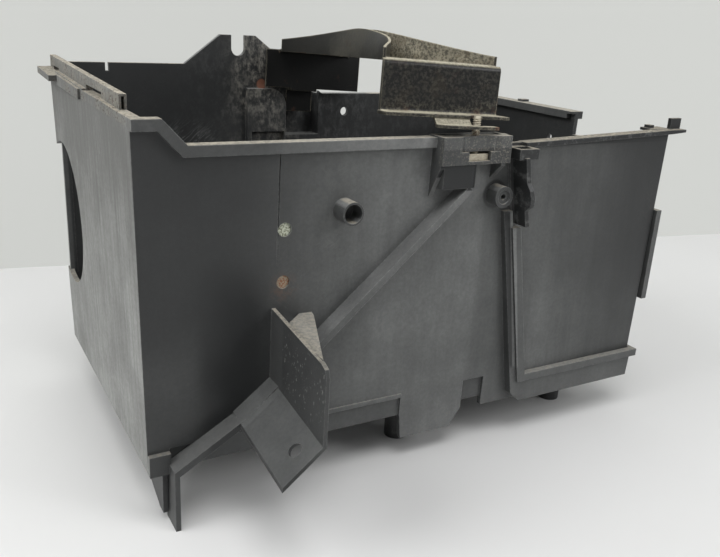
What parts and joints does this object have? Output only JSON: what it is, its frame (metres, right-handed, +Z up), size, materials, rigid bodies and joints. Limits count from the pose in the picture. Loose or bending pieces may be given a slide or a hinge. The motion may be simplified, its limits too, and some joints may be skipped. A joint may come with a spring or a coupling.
{
  "type": "battery tray",
  "caption": "Open moulded battery tray with a lift-out front panel, side bracket and pressed hold-down clamp.",
  "frame": {"origin": "centre of the bottom face of the middle front foot", "axes": "+X along the long front wall to the right, +Y from the front wall to the back wall, +Z up"},
  "size_m": [0.341, 0.2555, 0.2326],
  "materials": {
    "tray_plastic": "dusty",
    "panel_plastic": "dusty",
    "clamp_steel": "rust specks",
    "bolt_steel": "dull"
  },
  "bodies": {
    "tray": {"tray_body": "tray_plastic", "hold_down_clamp": "clamp_steel", "hold_down_bolt": "bolt_steel", "captive_nut": "bolt_steel"},
    "panel": {"front_panel": "panel_plastic"}
  },
  "joints": [
    {"name": "panel_lift", "type": "slide", "parent": "tray", "child": "panel", "axis": [0, 0, 1], "range_m": [0, 0.15]}
  ]
}
